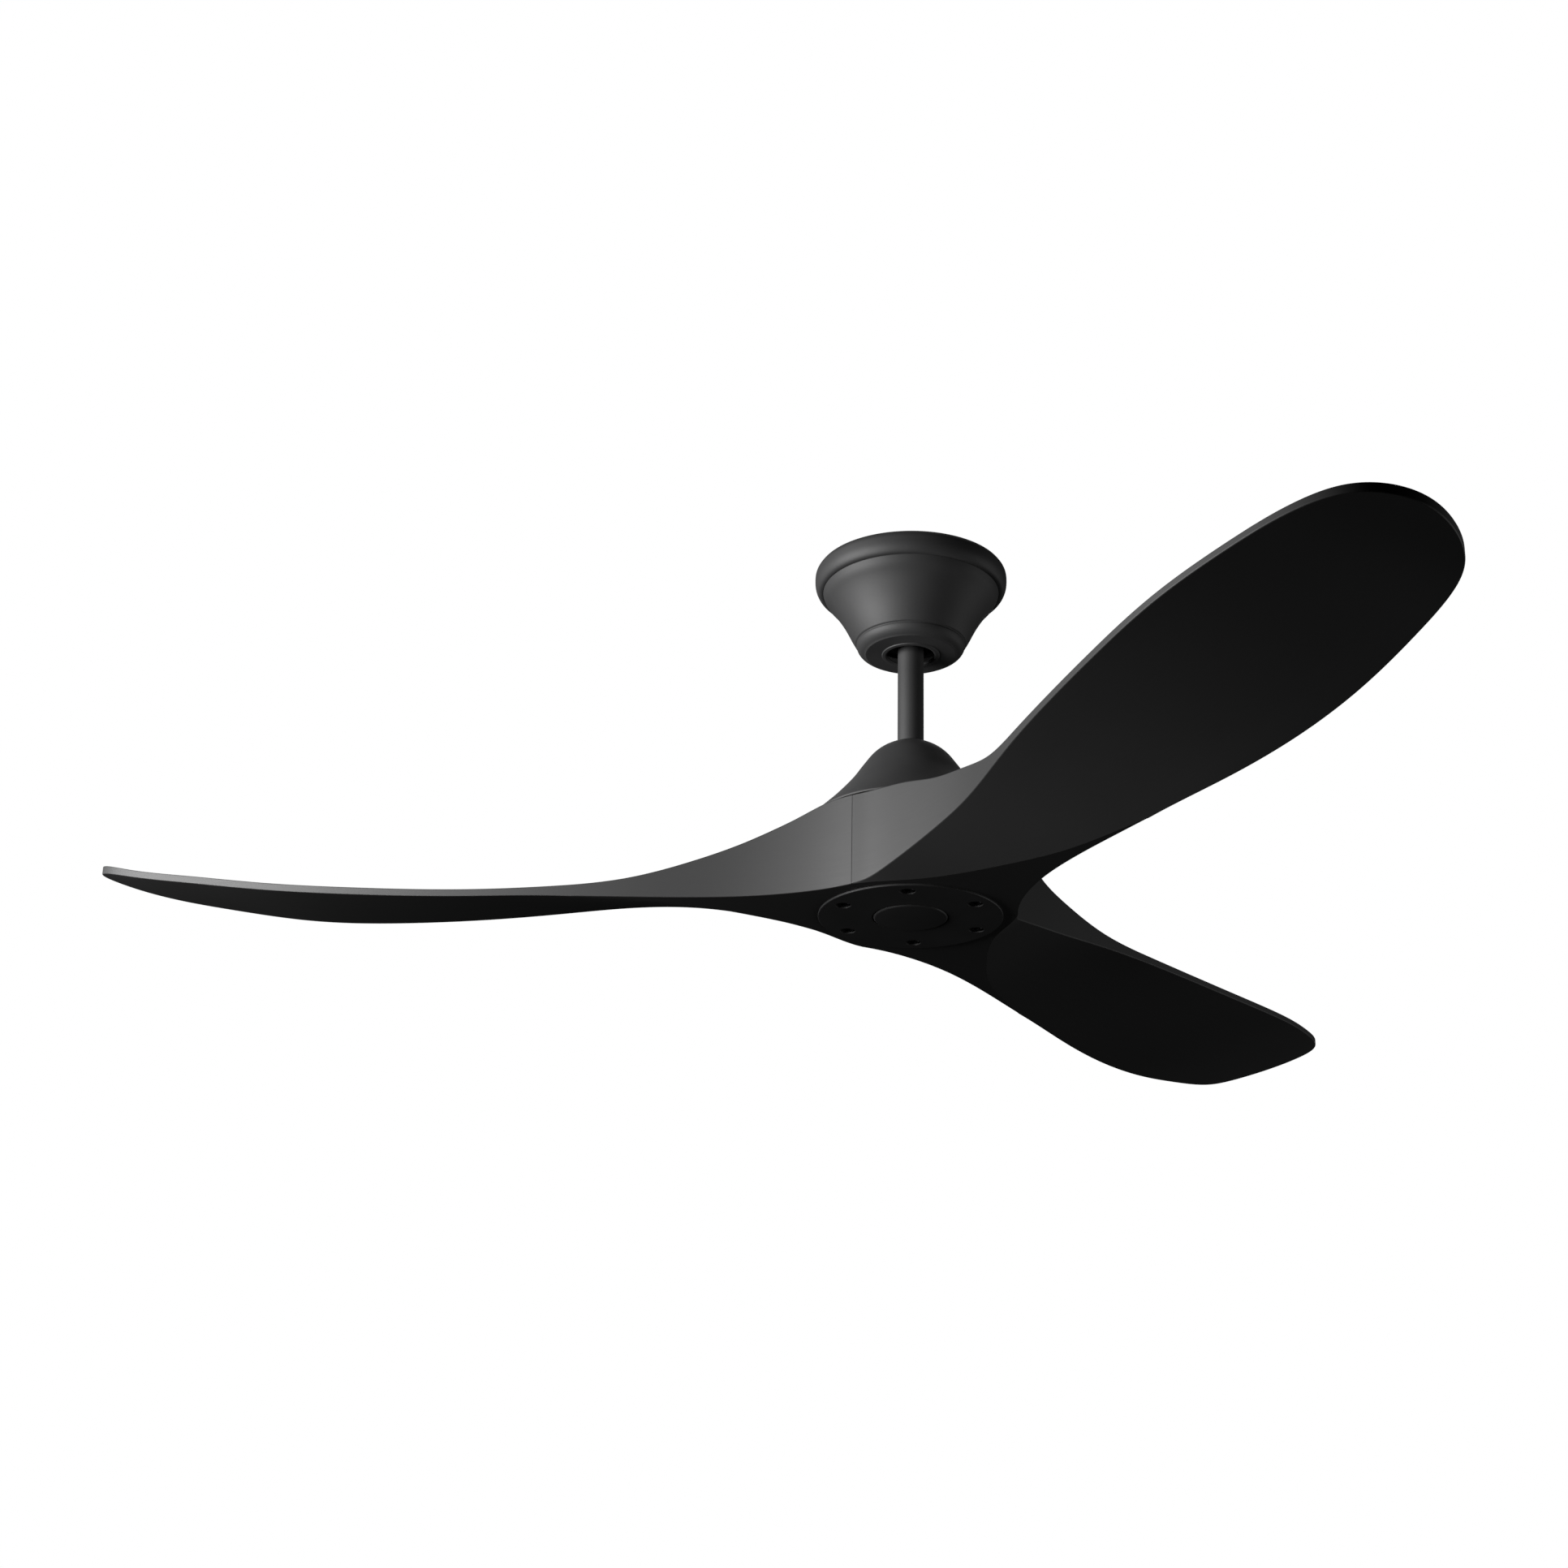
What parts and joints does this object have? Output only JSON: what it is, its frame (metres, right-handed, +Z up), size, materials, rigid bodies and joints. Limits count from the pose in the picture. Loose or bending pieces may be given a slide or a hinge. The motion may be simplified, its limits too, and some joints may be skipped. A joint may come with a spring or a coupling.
{
  "type": "ceiling fan",
  "caption": "Carved propeller ceiling fan without a light, with solid twisted blades on an outer-rotor motor, hung on a short downrod from a ball-and-socket ceiling canopy.",
  "frame": {"origin": "on the fan's axis in the ceiling plane, at the centre of the hanger bracket's top face", "axes": "+Z up, along the motor shaft and downrod, into the ceiling; +X along the hanger bracket's long side; the fan hangs at negative Z"},
  "size_m": [1.0521, 1.1614, 0.307],
  "materials": {
    "blade_lacquer": "solid wood under smooth matt black lacquer",
    "black_powder_coat": "matt black powder coat with a very fine texture",
    "plate_coat": "matt black paint, smoother than the powder coat",
    "zinc_plated_steel": "bright zinc plate",
    "black_oxide_steel": "black oxide, lightly oiled",
    "die_cast_zinc": "die-cast zinc, blasted",
    "cast_aluminium": "die-cast aluminium, as cast with turned faces",
    "bearing_steel": "ground and polished bearing steel",
    "electrical_steel": "stacked laminations with a blue-grey coating",
    "copper_wire": "enamelled copper winding",
    "ferrite": "sintered ferrite",
    "circuit_board": "green solder mask",
    "black_nylon": "moulded glass-filled nylon",
    "white_plastic": "moulded flame-retardant plastic",
    "cage_nylon": "natural nylon",
    "black_rubber": "sheet rubber",
    "cable_sheath": "grey-black PVC sheath",
    "black_ecoat": "thin satin black electrocoat on pressed steel",
    "earth_green": "green passivated steel"
  },
  "bodies": {
    "ceiling_mount": {"hanger_bracket": "black_ecoat", "earth_screw": "earth_green", "receiver_case": "white_plastic", "receiver_cover": "white_plastic", "receiver_board": "circuit_board", "supply_terminal": "white_plastic", "canopy_shell": "black_powder_coat", "canopy_screws": "zinc_plated_steel", "canopy_ring": "black_powder_coat"},
    "hanger": {"hanger_ball": "black_nylon", "ball_cross_pin": "zinc_plated_steel", "ball_set_screw": "black_oxide_steel", "downrod": "black_powder_coat", "motor_lead": "cable_sheath", "lead_plug": "white_plastic", "coupling_yoke": "die_cast_zinc", "clevis_pin": "zinc_plated_steel", "cotter_pin": "zinc_plated_steel", "yoke_set_screws": "black_oxide_steel", "bell_bracket": "zinc_plated_steel", "bell_bracket_screws": "zinc_plated_steel", "bell_housing": "black_powder_coat", "motor_shaft": "bearing_steel", "shaft_circlip": "black_oxide_steel", "shaft_spacer": "zinc_plated_steel", "stator_hub": "cast_aluminium", "stator_core": "electrical_steel", "stator_windings": "copper_wire", "motor_board": "circuit_board", "lower_bearing_inner": "bearing_steel", "upper_bearing_inner": "bearing_steel"},
    "rotor": {"lower_bearing_outer": "bearing_steel", "upper_bearing_outer": "bearing_steel", "rotor_cup": "cast_aluminium", "rotor_cover": "cast_aluminium", "rotor_cover_screws": "zinc_plated_steel", "rotor_magnets": "ferrite", "motor_gasket": "black_rubber", "blade_left": "blade_lacquer", "blade_near": "blade_lacquer", "blade_far": "blade_lacquer", "hub_plate": "plate_coat", "hub_screws": "black_oxide_steel", "centre_cap": "plate_coat"},
    "lower_cage": {"lower_bearing_balls": "bearing_steel", "lower_bearing_cage": "cage_nylon"},
    "upper_cage": {"upper_bearing_balls": "bearing_steel", "upper_bearing_cage": "cage_nylon"}
  },
  "joints": [
    {"name": "ball_tilt", "type": "hinge", "parent": "ceiling_mount", "child": "hanger", "pos_m": [0, 0, -0.049], "axis": [1, 0, 0], "range_deg": [-15, 15]},
    {"name": "rotor_spin", "type": "hinge", "parent": "hanger", "child": "rotor", "pos_m": [0, 0, -0.264], "axis": [0, 0, 1], "continuous": true},
    {"name": "lower_cage_roll", "type": "hinge", "parent": "hanger", "child": "lower_cage", "pos_m": [0, 0, -0.282], "axis": [0, 0, 1], "continuous": true},
    {"name": "upper_cage_roll", "type": "hinge", "parent": "hanger", "child": "upper_cage", "pos_m": [0, 0, -0.236], "axis": [0, 0, 1], "continuous": true}
  ],
  "couplings": [
    {"joint": "lower_cage_roll", "follows": "rotor_spin", "ratio": 0.61579},
    {"joint": "upper_cage_roll", "follows": "rotor_spin", "ratio": 0.61579}
  ]
}
